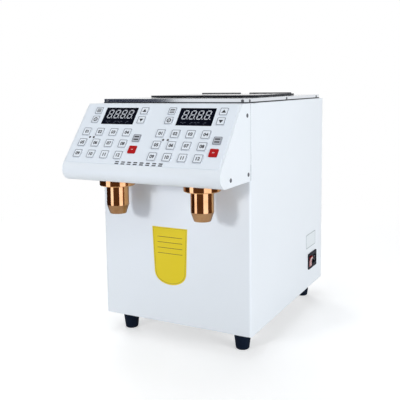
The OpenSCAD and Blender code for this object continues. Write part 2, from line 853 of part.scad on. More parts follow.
// Inlet socket and the frame of the rocker, in one black moulding
module power_inlet() {
    blades = [[-blade_pitch, -blade_low], [0, blade_high], [blade_pitch, -blade_low]];
    neck = inlet_lap + 0.5;
    w = socket_w / 2;
    h = socket_h / 2;
    color("black") {
        difference() {
            union() {
                translate([wall_x, inlet_y, inlet_z]) rotate([90, 0, 90])
                    linear_extrude(inlet_t) rounded(inlet_w, inlet_h, 2);
                translate([wall_x - inlet_d, inlet_y - inlet_w / 2 + neck,
                    inlet_z - inlet_h / 2 + neck])
                    cube([inlet_d + over, inlet_w - 2 * neck, inlet_h - 2 * neck]);
            }
            translate([socket_x, socket_y, inlet_z]) rotate([90, 0, 90])
                linear_extrude(socket_depth + over) polygon([
                    [-w, -h],
                    [w, -h],
                    [w, h - socket_chamfer],
                    [w - socket_chamfer, h],
                    [-w + socket_chamfer, h],
                    [-w, h - socket_chamfer]
                ]);
            translate([rocker_x - rocker_well, rocker_y - rocker_w / 2 - slip,
                inlet_z - rocker_l / 2 - 4 * slip])
                cube([2 * rocker_well, rocker_w + 2 * slip, rocker_l + 8 * slip]);
            translate([rocker_x, rocker_y - rocker_w / 2 - rocker_pin_l - slip, inlet_z])
                bar_y(rocker_pin_r + running, rocker_w + 2 * rocker_pin_l + 2 * slip);
        }
        for (blade = blades) {
            translate([socket_x - over, socket_y + blade[0] - blade_w / 2,
                inlet_z + blade[1] - blade_h / 2]) cube([blade_l + over, blade_w, blade_h]);
        }
    }
}

// The rocker at rest, with its lower end pressed in
module rocker() {
    half = rocker_l / 2;
    horn = 5;
    waist = 3.4;
    back = 4;
    color("firebrick") translate([rocker_x, rocker_y, inlet_z]) rotate([0, rocker_tilt, 0]) {
        rotate([90, 0, 0]) linear_extrude(rocker_w, center = true) polygon([
            [horn, -half],
            [waist, 0],
            [horn, half],
            [-back, half - 1],
            [-back, 1 - half]
        ]);
        translate([0, -rocker_w / 2 - rocker_pin_l, 0])
            bar_y(rocker_pin_r, rocker_w + 2 * rocker_pin_l);
    }
}

// Feet

// One moulded foot, with a recess below and a stud that snaps through the base plate
module foot() {
    edge = 1.5;
    recess_r = 5;
    recess_h = 8;
    top = plate_z;
    head = top + base_t;
    color("black") rotate_extrude($fn = 48) polygon([
        [0, recess_h],
        [recess_r, recess_h],
        [recess_r, 0],
        [foot_r - edge, 0],
        [foot_r, edge],
        [foot_top_r, top],
        [foot_stud_r, top],
        [foot_stud_r, head],
        [foot_stud_head, head],
        [foot_stud_r, head + 3],
        [0, head + 3]
    ]);
}

module feet() {
    for (x = [-1, 1], y = [front_y + foot_inset, foot_rear_y]) {
        translate([x * foot_x, y, 0]) foot();
    }
}

body_shell();
rear_panel();
base_plate();
top_deck();
mirror([1, 0, 0]) lid();  // lid_left
lid();  // lid_right
mirror([1, 0, 0]) tank();  // tank_left
tank();  // tank_right
console_hood();
console_floor();
key_film();
control_board();
display_windows();
mirror([1, 0, 0]) nozzle();  // nozzle_left
nozzle();  // nozzle_right
mirror([1, 0, 0]) pump();  // pump_left
pump();  // pump_right
mirror([1, 0, 0]) coupling();  // coupling_left
coupling();  // coupling_right
hoses();
power_supply();
power_inlet();
rocker();
feet();
for (i = [0 : len(key_names) - 1]) {
    key(-1, i);
    key(1, i);
}
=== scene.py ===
"""Two-head fructose dispenser: materials, printed and fastened details, floor, lamps and camera.

In the frame +Z is up, the front faces -Y and the floor is z = 0. The object's own sizes are in
millimetres here. The floor, lamps, reflectors, camera and all lengths in shaders are in metres.
"""
import math

import bpy
import numpy as np
from mathutils import Matrix


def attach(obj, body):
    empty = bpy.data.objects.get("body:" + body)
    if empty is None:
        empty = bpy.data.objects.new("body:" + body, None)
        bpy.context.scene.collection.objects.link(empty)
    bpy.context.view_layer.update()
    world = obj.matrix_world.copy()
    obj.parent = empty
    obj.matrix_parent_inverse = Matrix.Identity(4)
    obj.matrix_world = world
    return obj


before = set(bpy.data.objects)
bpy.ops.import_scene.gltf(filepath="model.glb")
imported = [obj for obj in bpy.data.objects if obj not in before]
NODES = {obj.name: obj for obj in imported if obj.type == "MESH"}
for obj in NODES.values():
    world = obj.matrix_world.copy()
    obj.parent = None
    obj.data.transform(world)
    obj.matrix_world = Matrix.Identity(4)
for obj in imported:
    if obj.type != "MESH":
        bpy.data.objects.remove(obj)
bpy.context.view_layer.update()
MM = 0.001

# The solids that the details sit on. On the console's slope, s runs down from its top edge.
FRONT_Y, BACK_Y, SIDE_X = -125.5, 229.5, 135.0
TOP_Z, DECK_Z = 391.0, 398.0
HOOD_TOP = 31.0
SLOPE = math.radians(51.59)
FILM_T = 0.8
KEY_PROUD = 1.0
KEYPAD_PITCH = 134.0
FIRST_COL, COL_PITCH = -47.2, 25.0
FIRST_ROW, ROW_PITCH = 54.832, 20.176
KEY_W, AUX_W = 14.0, 13.0
DISPLAY_X, DISPLAY_S = 1.7, 24.0
SOCKET_Y, SOCKET_Z = 178.3, 82.5
ROCKER_X, ROCKER_Y, ROCKER_Z = 134.0, 156.0, 82.5
DECK_X, DECK_BACK, DECK_MID, DECK_R = 130.0, 224.5, 394.6, 3.0
LID_W, LID_D, LID_X, LID_Y, LID_R = 100.0, 182.0, 52.0, 67.5, 4.0
LID_FRONT, LID_BACK = LID_Y - LID_D / 2, LID_Y + LID_D / 2
NOZZLE_TIP_Z = 232.5
SUPPLY_LID_Z = 74.1
GEARHEAD_Y, MOTOR_Y = -0.5, 21.5

# Each half of the machine, and the sign of its x
HALVES = (("left", -1), ("right", 1))


def linear(r, g, b):
    """The linear colour of an 8-bit screen colour: a straight foot, then a power of 2.4."""
    c = np.array([r, g, b], float) / 255
    c = np.where(c <= 0.04045, c / 12.92, ((c + 0.055) / 1.055) ** 2.4)
    return (*[float(x) for x in c], 1.0)


# Shader helpers -------------------------------------------------------------------------------

COLOR, FLOAT = "NodeSocketColor", "NodeSocketFloat"
MIX_A, MIX_B, MIX_OUT = 6, 7, 2  # a mix node's sockets for colours


class Net:
    """A short way to place and join nodes in one tree."""

    def __init__(self, tree):
        self.tree = tree

    def feed(self, socket, value):
        """Joins an output to a socket, or sets the socket's own constant."""
        if isinstance(value, bpy.types.NodeSocket):
            self.tree.links.new(value, socket)
        else:
            socket.default_value = value

    def fill(self, node, inputs):
        """Feeds several named inputs of one node."""
        for name, value in inputs.items():
            self.feed(node.inputs[name], value)

    def add(self, kind, inputs=None, **settings):
        """A new node, with its settings made and its named inputs fed."""
        node = self.tree.nodes.new(kind)
        for name, value in settings.items():
            setattr(node, name, value)
        self.fill(node, inputs or {})
        return node

    def group(self, tree, **inputs):
        """A shared group, placed with its named inputs fed."""
        return self.add("ShaderNodeGroup", inputs, node_tree=tree).outputs

    def math(self, operation, a, b=None):
        """One step of arithmetic on outputs or numbers."""
        node = self.add("ShaderNodeMath", operation=operation)
        self.feed(node.inputs[0], a)
        if b is not None:
            self.feed(node.inputs[1], b)
        return node.outputs[0]

    def swing(self, noise, amount):
        """A noise with its middle brought to zero, times an amount."""
        return self.math("MULTIPLY", self.math("SUBTRACT", noise, 0.5), amount)

    def shade(self, color, level):
        """A colour times a number."""
        node = self.add("ShaderNodeVectorMath", {"Scale": level}, operation="SCALE")
        self.feed(node.inputs[0], color)
        return node.outputs[0]

    def mix(self, factor, a, b):
        """The colour that lies between a and b by the factor."""
        node = self.add("ShaderNodeMix", {"Factor": factor}, data_type="RGBA")
        self.feed(node.inputs[MIX_A], a)
        self.feed(node.inputs[MIX_B], b)
        return node.outputs[MIX_OUT]

    def ramp(self, value, low, high, low_out=0.0, high_out=1.0):
        """Straight from low_out to high_out as the value goes from low to high, level beyond."""
        sockets = {"Value": value, "From Min": low, "From Max": high}
        sockets.update({"To Min": low_out, "To Max": high_out})
        return self.add("ShaderNodeMapRange", sockets, clamp=True).outputs[0]

    def noise(self, vector, scale, detail=2.0, rough=0.5):
        """Cloudy noise of that many grains to a metre."""
        sockets = {"Vector": vector, "Scale": scale, "Detail": detail, "Roughness": rough}
        return self.add("ShaderNodeTexNoise", sockets).outputs["Fac"]

    def place(self, scale=(1, 1, 1), turn=(0, 0, 0)):
        """Object coordinates, stretched and turned."""
        coordinates = self.add("ShaderNodeTexCoord").outputs["Object"]
        sockets = {"Vector": coordinates, "Scale": scale, "Rotation": turn}
        return self.add("ShaderNodeMapping", sockets).outputs[0]

    def axes(self, vector):
        """A vector's X, Y and Z."""
        return self.add("ShaderNodeSeparateXYZ", {"Vector": vector}).outputs

    def mix_shaders(self, factor, a, b):
        """The shader that lies between a and b by the factor."""
        node = self.add("ShaderNodeMixShader")
        for socket, value in zip(node.inputs, (factor, a, b)):
            self.feed(socket, value)
        return node.outputs[0]

    def rays(self, *kinds):
        """1 where the ray is of one of these kinds, and 0 elsewhere."""
        path = self.add("ShaderNodeLightPath").outputs
        seen = path["Is %s Ray" % kinds[0]]
        for kind in kinds[1:]:
            seen = self.math("MAXIMUM", seen, path["Is %s Ray" % kind])
        return seen


def new_group(name, inputs, outputs):
    """An empty shader group with named sockets: a number makes a float, four make a colour."""
    tree = bpy.data.node_groups.new(name, "ShaderNodeTree")
    for label, value in inputs:
        kind = FLOAT if isinstance(value, (int, float)) else COLOR
        socket = tree.interface.new_socket(label, in_out="INPUT", socket_type=kind)
        socket.default_value = value
    for label, kind in outputs:
        tree.interface.new_socket(label, in_out="OUTPUT", socket_type=kind)
    net = Net(tree)
    return tree, net, net.add("NodeGroupInput").outputs, net.add("NodeGroupOutput")


def make_surface_wear():
    """Soft tone drift, fine speckle and handling smudges, all from noise at three sizes."""
    tree, net, given, out = new_group(
        "SurfaceWear",
        [("Color", (0.8, 0.8, 0.8, 1)), ("Drift", 0.03), ("Roughness", 0.4), ("Smudge", 0.08)],
        [("Color", COLOR), ("Roughness", FLOAT), ("Mask", FLOAT)],
    )
    place = net.place()
    drift = net.swing(net.noise(place, 7.0, 3.0), given["Drift"])
    speckle = net.swing(net.noise(place, 420.0), 0.018)
    level = net.math("ADD", net.math("ADD", drift, speckle), 1.0)
    smear = net.noise(net.place(scale=(1.0, 1.0, 0.35)), 38.0, 4.0, 0.6)
    mask = net.ramp(smear, 0.42, 0.68)
    smudged = net.math("MULTIPLY", mask, given["Smudge"])
    rough = net.math("ADD", given["Roughness"], smudged)
    color = net.shade(given["Color"], level)
    net.fill(out, {"Color": color, "Roughness": rough, "Mask": mask})
    return tree


def make_peel():
    """The height of sprayed powder coat: rounded grains about 1.5 mm apart over a slow swell."""
    tree, net, given, out = new_group(
        "PowderPeel", [("Scale", 620.0), ("Swell", 0.3)], [("Height", FLOAT)]
    )
    place = net.place()
    grain = net.noise(place, given["Scale"], 1.5)
    swell = net.math("MULTIPLY", net.noise(place, 60.0, 1.0), given["Swell"])
    net.fill(out, {"Height": net.math("ADD", grain, swell)})
    return tree


def make_brushing():
    """Long scratches along X: noise stretched fifty-fold, as colour, roughness and height."""
    tree, net, given, out = new_group(
        "BrushedGrain",
        [("Color", (0.6, 0.6, 0.6, 1)), ("Depth", 0.12), ("Roughness", 0.3), ("Spread", 0.14)],
        [("Color", COLOR), ("Roughness", FLOAT), ("Height", FLOAT)],
    )
    strokes = net.noise(net.place(scale=(0.02, 1.0, 1.0)), 2600.0, 3.0, 0.6)
    cloud = net.noise(net.place(), 9.0, 3.0)
    level = net.math("ADD", 1.0, net.swing(strokes, given["Depth"]))
    level = net.math("ADD", level, net.swing(cloud, 0.08))
    spread = net.math("MULTIPLY", strokes, given["Spread"])
    rough = net.math("ADD", given["Roughness"], spread)
    color = net.shade(given["Color"], level)
    net.fill(out, {"Color": color, "Roughness": rough, "Height": strokes})
    return tree


WEAR = make_surface_wear()
PEEL = make_peel()
BRUSH = make_brushing()


def cleared(owner):
    """The net of a material or a world, with the nodes it starts with taken out."""
    owner.use_nodes = True
    owner.node_tree.nodes.clear()
    return Net(owner.node_tree)


def new_material(name):
    """A material with an empty net, its main shader and its output joined."""
    mat = bpy.data.materials.new(name)
    net = cleared(mat)
    shader = net.add("ShaderNodeBsdfPrincipled")
    net.add("ShaderNodeOutputMaterial", {"Surface": shader.outputs[0]})
    return mat, net, shader


def relief(net, shader, height, depth, strength, edge=None):
    """Bumps of one depth; where an edge radius is given, edges also catch the light as if round."""
    node = net.add("ShaderNodeBump", {"Height": height, "Distance": depth, "Strength": strength})
    if edge:
        bevel = net.add("ShaderNodeBevel", {"Radius": edge}, samples=4)
        net.feed(node.inputs["Normal"], bevel.outputs[0])
    net.feed(shader.inputs["Normal"], node.outputs[0])


def powder_coat(name, color):
    """Sprayed powder coat: fine orange peel, a slow tone drift, and edges that catch the light."""
    mat, net, shader = new_material(name)
    wear = net.group(WEAR, Color=color, Drift=0.03, Roughness=0.46, Smudge=0.06)
    peel = net.group(PEEL, Scale=620.0, Swell=0.3)
    net.fill(shader, {
        "Base Color": wear["Color"],
        "Roughness": wear["Roughness"],
        "Coat Weight": 0.12,
        "Coat Roughness": 0.25,
    })
    relief(net, shader, peel["Height"], 0.00004, 0.35, edge=0.0009)
    return mat


def plastic(name, color, rough, grain, depth=0.00001, coat=0.0, drift=0.05, shine=0.5):
    """Moulded plastic: fine spark-eroded grain, with smudges that change its gloss."""
    mat, net, shader = new_material(name)
    wear = net.group(WEAR, Color=color, Drift=drift, Roughness=rough, Smudge=0.1)
    net.fill(shader, {
        "Base Color": wear["Color"],
        "Roughness": wear["Roughness"],
        "Specular IOR Level": shine,
        "Coat Weight": coat,
        "Coat Roughness": 0.08,
    })
    relief(net, shader, net.noise(net.place(), grain), depth, 0.4, edge=0.0003)
    return mat


def key_plastic(name, color, drift=0.02, shine=0.3):
    """The keys' plastic, which differs in colour, drift and shine only."""
    return plastic(name, color, 0.42, 1200.0, drift=drift, shine=shine)


def brushed(name, color, rough, depth=0.12, metallic=1.0):
    """Brushed sheet metal, its strokes running across the machine."""
    mat, net, shader = new_material(name)
    grain = net.group(BRUSH, Color=color, Depth=depth, Roughness=rough)
    net.fill(shader, {
        "Base Color": grain["Color"],
        "Roughness": grain["Roughness"],
        "Metallic": metallic,
        "Anisotropic": 0.4,
    })
    relief(net, shader, grain["Height"], 0.00002, 0.3, edge=0.0005)
    return mat


def sheet_with_black_and_shade(name, color, rough, axis, above, below=-1000.0):
    """Polished sheet, near black and matt past one or two marks on an axis.

    On the lids the black of the front lip is painted shade for the shadow line under the lid's
    front edge; the lid's hinge past the back mark and the deck's ears past its top are black too.
    The marks are in mm, and the black comes in over 0.2 mm.
    """
    mat, net, shader = new_material(name)
    grain = net.group(BRUSH, Color=color, Depth=0.05, Roughness=rough, Spread=0.025)
    along = net.axes(net.place())[axis]
    beyond = net.ramp(along, above * MM + 0.0001, above * MM + 0.0003)
    before = net.ramp(along, below * MM - 0.0003, below * MM - 0.0001, 1.0, 0.0)
    # Near black and matt past the marks: on the lids' front lip this is painted shade
    black_and_shade = net.math("MAXIMUM", beyond, before)
    dulled = net.math("MULTIPLY", black_and_shade, 0.35)
    net.fill(shader, {
        "Base Color": net.mix(black_and_shade, grain["Color"], (0.02, 0.02, 0.024, 1)),
        "Roughness": net.math("ADD", grain["Roughness"], dulled),
        "Metallic": net.math("SUBTRACT", 1.0, black_and_shade),
        "Anisotropic": 0.4,
    })
    relief(net, shader, grain["Height"], 0.00002, 0.04, edge=0.0005)
    return mat


def turned_brass(name):
    """Lathe-turned brass: fine rings up the axis, a matt tapered tip and a polished barrel."""
    mat, net, shader = new_material(name)
    place = net.place()
    height = net.axes(place)["Z"]
    tip = net.ramp(height, NOZZLE_TIP_Z * MM, NOZZLE_TIP_Z * MM + 0.0005, 1.0, 0.0)
    rings = net.noise(net.place(scale=(0.02, 0.02, 1.0)), 2400.0)
    tarnish = net.ramp(net.noise(place, 45.0, 4.0, 0.6), 0.35, 0.7)
    polished = net.mix(tarnish, linear(214, 162, 108), linear(196, 142, 88))
    matt = net.mix(tarnish, linear(170, 132, 94), linear(140, 102, 68))
    gloss = net.math("ADD", 0.06, net.math("MULTIPLY", rings, 0.05))
    net.fill(shader, {
        "Base Color": net.mix(tip, polished, matt),
        "Roughness": net.math("ADD", gloss, net.math("MULTIPLY", tip, 0.24)),
        "Metallic": 1.0,
    })
    relief(net, shader, rings, 0.00002, 0.35, edge=0.0004)
    return mat


def smoked_window(name):
    """The display's window: near black, with a slow sheen under an anti-glare face."""
    mat, net, shader = new_material(name)
    haze = net.noise(net.place(), 30.0, 3.0)
    net.fill(shader, {
        "Base Color": net.mix(haze, linear(5, 7, 18), linear(10, 13, 26)),
        "Roughness": net.ramp(haze, 0.3, 0.7, 0.30, 0.38),
        "Specular IOR Level": 0.01,
    })
    return mat


def circuit_board(name):
    """Green solder mask with copper under it: patches of noise, cut by a pattern of bricks."""
    mat, net, shader = new_material(name)
    place = net.place(turn=(SLOPE, 0, 0))
    pattern = {"Vector": place, "Scale": 260.0, "Mortar Size": 0.05}
    bricks = net.add("ShaderNodeTexBrick", pattern).outputs["Fac"]
    patches = net.ramp(net.noise(place, 150.0, 0.0), 0.52, 0.55)
    copper = net.math("MULTIPLY", patches, bricks)
    net.fill(shader, {
        "Base Color": net.mix(copper, (0.012, 0.10, 0.045, 1), (0.04, 0.22, 0.09, 1)),
        "Roughness": net.ramp(copper, 0.0, 1.0, 0.28, 0.18),
    })
    relief(net, shader, copper, 0.00003, 0.5)
    return mat


def pump_metal(name):
    """Dark cast pump head, a paler gearhead, and a motor in satin steel with fine turned rings."""
    mat, net, shader = new_material(name)
    place = net.place()
    along = net.axes(place)["Y"]
    gearhead = net.ramp(along, GEARHEAD_Y * MM, GEARHEAD_Y * MM + 0.0005)
    motor = net.ramp(along, MOTOR_Y * MM, MOTOR_Y * MM + 0.001)
    cast = net.noise(place, 700.0, 3.0)
    turned = net.noise(net.place(scale=(0.02, 1.0, 0.02)), 1500.0)
    dark = net.mix(cast, (0.05, 0.052, 0.056, 1), (0.09, 0.092, 0.10, 1))
    pale = net.mix(cast, (0.30, 0.31, 0.32, 1), (0.38, 0.39, 0.40, 1))
    steel = net.mix(turned, (0.42, 0.43, 0.45, 1), (0.55, 0.56, 0.58, 1))
    net.fill(shader, {
        "Base Color": net.mix(motor, net.mix(gearhead, dark, pale), steel),
        "Roughness": net.ramp(motor, 0.0, 1.0, 0.5, 0.28),
        "Metallic": 0.8,
    })
    relief(net, shader, cast, 0.00008, 0.35, edge=0.0006)
    return mat


def silicone(name):
    """Milky silicone hose with a faint cloudiness and a soft shine."""
    mat, net, shader = new_material(name)
    cloud = net.noise(net.place(), 90.0, 3.0)
    net.fill(shader, {
        "Base Color": net.mix(cloud, linear(206, 214, 214), linear(226, 232, 232)),
        "Roughness": net.ramp(cloud, 0.3, 0.7, 0.28, 0.4),
        "Subsurface Weight": 0.3,
        "Subsurface Scale": 0.004,
    })
    relief(net, shader, cloud, 0.00006, 0.3)
    return mat


def supply_case(name):
    """The power supply's aluminium case, with rows of round vent holes drawn on its lid as
    near-black
    matt dots: painted shade in place of real holes.

    A hole is where x squared plus y squared is small, from the middle of each 8 mm cell.
    """
    mat, net, shader = new_material(name)
    grain = net.group(BRUSH, Color=(0.55, 0.56, 0.57, 1), Depth=0.1, Roughness=0.32)
    cells = net.axes(net.place(scale=(125.0, 125.0, 1.0)))
    x = net.math("SUBTRACT", net.math("FRACT", cells["X"]), 0.5)
    y = net.math("SUBTRACT", net.math("FRACT", cells["Y"]), 0.5)
    away = net.math("ADD", net.math("MULTIPLY", x, x), net.math("MULTIPLY", y, y))
    on_lid = net.math("GREATER_THAN", cells["Z"], SUPPLY_LID_Z * MM)
    # Painted shade for the vent holes: near black and not metallic inside each dot
    hole_shade = net.math("MULTIPLY", net.math("LESS_THAN", away, 0.07), on_lid)
    dulled = net.math("MULTIPLY", hole_shade, 0.5)
    net.fill(shader, {
        "Base Color": net.mix(hole_shade, grain["Color"], (0.01, 0.01, 0.011, 1)),
        "Roughness": net.math("ADD", grain["Roughness"], dulled),
        "Metallic": net.math("SUBTRACT", 1.0, hole_shade),
    })
    relief(net, shader, grain["Height"], 0.00002, 0.3, edge=0.0006)
    return mat


def ink(name, color, rough=0.5):
    """Screen-printed ink: a flat tone that thins a little towards the weave of the screen."""
    mat, net, shader = new_material(name)
    wear = net.group(WEAR, Color=color, Drift=0.12, Roughness=rough, Smudge=0.08)
    net.fill(shader, {"Base Color": wear["Color"], "Roughness": wear["Roughness"]})
    relief(net, shader, net.noise(net.place(), 1800.0, 1.0), 0.00001, 0.3)
    return mat


MATERIALS = {
    "paint": powder_coat("white_powder_coat", linear(232, 238, 244)),
    "zinc": brushed("zinc_plated_sheet", (0.50, 0.51, 0.52, 1), 0.38, 0.2),
    "deck": sheet_with_black_and_shade("stainless_deck", (0.71, 0.745, 0.79, 1), 0.09, "Z", DECK_Z),
    # The lids' steel has a far darker tone than the deck's: painted shade for the dark look of the
    # lids seen edge-on
    "lid": sheet_with_black_and_shade("stainless_lid", (0.36, 0.365, 0.38, 1), 0.1, "Y", LID_BACK, LID_FRONT),
    "tank": brushed("stainless_tank", (0.84, 0.85, 0.87, 1), 0.34, metallic=0.6),
    "film": plastic("printed_film", linear(230, 237, 245), 0.42, 1500.0, drift=0.02, shine=0.3),
    "key_white": key_plastic("key_white", linear(230, 236, 243)),
    "key_grey": key_plastic("key_grey", linear(182, 186, 193)),
    "key_red": key_plastic("key_red", linear(176, 28, 30), drift=0.06, shine=0.08),
    "window": smoked_window("smoked_window"),
    "board": circuit_board("circuit_board"),
    "brass": turned_brass("turned_brass"),
    "pump": pump_metal("pump_and_motor"),
    "coupling": brushed("turned_aluminium", (0.62, 0.63, 0.65, 1), 0.28),
    "hose": silicone("silicone_hose"),
    "supply": supply_case("supply_case"),
    "inlet": plastic(
        "inlet_black", linear(22, 24, 34), 0.5, 900.0, depth=0.00003, drift=0.1, shine=0.06
    ),
    "rocker": plastic("rocker_red", linear(150, 26, 22), 0.22, 400.0, coat=0.5),
    "rubber": plastic("foot_rubber", linear(17, 26, 41), 0.62, 500.0, depth=0.0001, shine=0.05),
    "ink": ink("dark_ink", linear(112, 118, 130)),
    "ink_black": ink("black_ink", linear(22, 24, 32)),
    "ink_white": ink("white_ink", linear(236, 236, 236)),
    "digit": ink("unlit_digit", linear(196, 200, 208), 0.35),
    "faint": ink("faint_legend", linear(70, 76, 92), 0.4),
    "card": plastic("yellow_card", linear(228, 205, 38), 0.45, 1300.0, shine=0.2),
    "card_line": ink("card_line", linear(120, 92, 20)),
    "plate": plastic("pale_plate", linear(222, 230, 235), 0.3, 800.0, coat=0.2, drift=0.1),
    "plate_line": ink("plate_line", linear(160, 170, 176)),
    "screw": brushed("screw_steel", (0.16, 0.165, 0.18, 1), 0.3, 0.1),
    # Near-black strips of painted shade in the gaps under the deck's rim and under the lids' edges,
    # made with the plastic recipe
    "gap_shade": plastic("black_gap_shade", linear(30, 32, 38), 0.55, 600.0, depth=0.00005, shine=0.2),
    # The seams' dark strips use the ink recipe, but they are painted shade along the seam between
    # the hood's sides and the body
    "seam": ink("seam_shade", linear(112, 120, 132), 0.7),
    "pin": brushed("nickel_pin", (0.66, 0.65, 0.60, 1), 0.2, 0.05),
    "lens": plastic("indicator_lens", linear(20, 10, 14), 0.3, 300.0, coat=0.6),
}

NODE_FINISH = {
    "body_shell": "paint", "rear_panel": "paint", "base_plate": "zinc", "top_deck": "deck",
    "lid_left": "lid", "lid_right": "lid", "tank_left": "tank", "tank_right": "tank",
    "console_hood": "paint", "console_floor": "paint", "key_film": "film",
    "control_board": "board", "display_windows": "window",
    "nozzle_left": "brass", "nozzle_right": "brass", "pump_left": "pump", "pump_right": "pump",
    "coupling_left": "coupling", "coupling_right": "coupling", "hoses": "hose",
    "power_supply": "supply", "power_inlet": "inlet", "rocker": "rocker", "feet": "rubber",
}


def key_finish(name):
    """A key's finish, which is also its material slot, by the end of its name."""
    return {"red": "key_red", "grey": "key_grey"}.get(name.split("_")[-1], "key_white")


for node_name, cad in NODES.items():
    cad.data.materials.clear()
    cad.data.materials.append(MATERIALS[NODE_FINISH.get(node_name) or key_finish(node_name)])

# Mesh helpers ---------------------------------------------------------------------------------


def placed(name, data):
    """A new object in the scene that shows this mesh, curve, lamp or camera."""
    made = bpy.data.objects.new(name, data)
    bpy.context.scene.collection.objects.link(made)
    return made


def piece(name, parts, body, material, smooth=False):
    """One object from parts of (points in mm, list of faces); it rides on body."""
    verts, faces, start = [], [], 0
    for points, polygons in parts:
        points = np.asarray(points, float).reshape(-1, 3)
        verts.append(points)
        faces += [[int(v) + start for v in f] for f in polygons]
        start += len(points)
    mesh = bpy.data.meshes.new(name)
    mesh.from_pydata((np.vstack(verts) * MM).tolist(), [], faces)
    mesh.validate()
    mesh.polygons.foreach_set("use_smooth", [smooth] * len(mesh.polygons))
    mesh.materials.append(MATERIALS[material])
    made = placed(name, mesh)
    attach(made, body)


def ring_quads(count, n):
    """The side faces between count rings of n points, numbered ring after ring."""
    here = n * np.arange(count - 1)[:, None]
    j = np.arange(n)[None, :]
    k = (j + 1) % n
    quads = np.stack(np.broadcast_arrays(here + j, here + k, here + n + k, here + n + j), -1)
    return quads.reshape(-1, 4).tolist()


def stack(rings):
    """A closed skin through rings of equal counts, each an n by 3 array, with flat ends."""
    rings = np.asarray(rings, float)
    count, n = rings.shape[:2]
    last = (count - 1) * n
    ends = [list(range(n))[::-1], list(range(last, last + n))]
    return rings.reshape(-1, 3), ring_quads(count, n) + ends


def hoop(rings):
    """A closed skin through rings of equal counts, the last of them joined to the first."""
    rings = np.asarray(rings, float)
    count, n = rings.shape[:2]
    last = (count - 1) * n
    back = [[last + j, last + (j + 1) % n, (j + 1) % n, j] for j in range(n)]
    return rings.reshape(-1, 3), ring_quads(count, n) + back


def rounded_outline(w, h, r, steps=6):
    """A w by h rectangle with corner arcs of radius r, anticlockwise, as an n by 2 array.

    An arc is the corner's middle plus r times the cosine and sine of a quarter turn.
    """
    t = np.linspace(0, math.pi / 2, steps + 1)
    arcs = []
    for k, (cx, cy) in enumerate(((1, 1), (-1, 1), (-1, -1), (1, -1))):
        a = t + k * math.pi / 2
        arcs.append(np.c_[cx * (w / 2 - r) + r * np.cos(a), cy * (h / 2 - r) + r * np.sin(a)])
    return np.vstack(arcs)


def shrunk(outline, by):
    """The outline moved inwards: each point goes left of the way from its last to its next."""
    ahead = np.roll(outline, -1, 0) - np.roll(outline, 1, 0)
    ahead /= np.maximum(np.linalg.norm(ahead, axis=1, keepdims=True), 1e-9)
    return outline + by * np.c_[-ahead[:, 1], ahead[:, 0]]


class Plane:
    """A flat frame on the machine: x and y lie in the surface, and z stands out of it."""

    def __init__(self, origin, x, y):
        self.origin = np.array(origin, float)
        self.x = np.array(x, float)
        self.y = np.array(y, float)
        self.z = np.cross(self.x, self.y)

    def at(self, flat, height):
        """Flat points in the machine: the origin, plus x, y and height times their own axes."""
        flat = np.atleast_2d(flat)
        lift = np.asarray(height).reshape(-1, 1) * self.z
        return self.origin + flat[:, :1] * self.x + flat[:, 1:2] * self.y + lift

    def moved(self, x, y, z=0.0):
        """The same plane from another origin, given in its own axes."""
        return Plane(self.origin + x * self.x + y * self.y + z * self.z, self.x, self.y)


SLOPE_TOP = (0, FRONT_Y - HOOD_TOP, TOP_Z)
SLOPE_PLANE = Plane(SLOPE_TOP, (1, 0, 0), (0, math.cos(SLOPE), math.sin(SLOPE)))
FRONT_PLANE = Plane((0, FRONT_Y, 0), (1, 0, 0), (0, 0, 1))
BACK_PLANE = Plane((0, BACK_Y, 0), (-1, 0, 0), (0, 0, 1))
RIGHT_PLANE = Plane((SIDE_X, 0, 0), (0, 1, 0), (0, 0, 1))
LEFT_PLANE = Plane((-SIDE_X, 0, 0), (0, -1, 0), (0, 0, 1))
SIDE_PLANES = ((RIGHT_PLANE, 1), (LEFT_PLANE, -1))  # and which way its x goes along y
LEVEL = Plane((0, 0, 0), (1, 0, 0), (0, 1, 0))
SUNK = 0.03  # how far the foot of a detail lies under the surface
PRINT = 0.05  # how far a print stands out


def plate(plane, outline, thick, edge=0.0):
    """A thin plate: the outline sunk a hair, raised to its height less the edge, then shrunk."""
    rings = [plane.at(outline, -SUNK), plane.at(outline, thick - edge)]
    if edge:
        rings.append(plane.at(shrunk(outline, edge), thick))
    return stack(rings)


def band(plane, outline, width, thick):
    """A line of one width inside a closed outline: a rectangle swept round it."""
    inner = shrunk(outline, width)
    outside = [plane.at(outline, -SUNK), plane.at(outline, thick)]
    return hoop([*outside, plane.at(inner, thick), plane.at(inner, -SUNK)])


def collar(outline, low, high, thick):
    """An upright strip of one thickness round a closed outline seen from above."""
    outer = shrunk(outline, -thick)
    foot = [LEVEL.at(outline, low), LEVEL.at(outer, low)]
    return hoop([*foot, LEVEL.at(outer, high), LEVEL.at(outline, high)])


def bar(plane, x, y, w, h, r=0.15):
    """A printed bar with rounded corners."""
    return plate(plane.moved(x, y), rounded_outline(w, h, r, 3), PRINT)


def disc(plane, r, thick, edge, n):
    """A round plate of n sides: r times the cosine and sine of n equal steps of a turn."""
    t = np.arange(n) * 2 * math.pi / n
    return plate(plane, np.c_[r * np.cos(t), r * np.sin(t)], thick, edge)


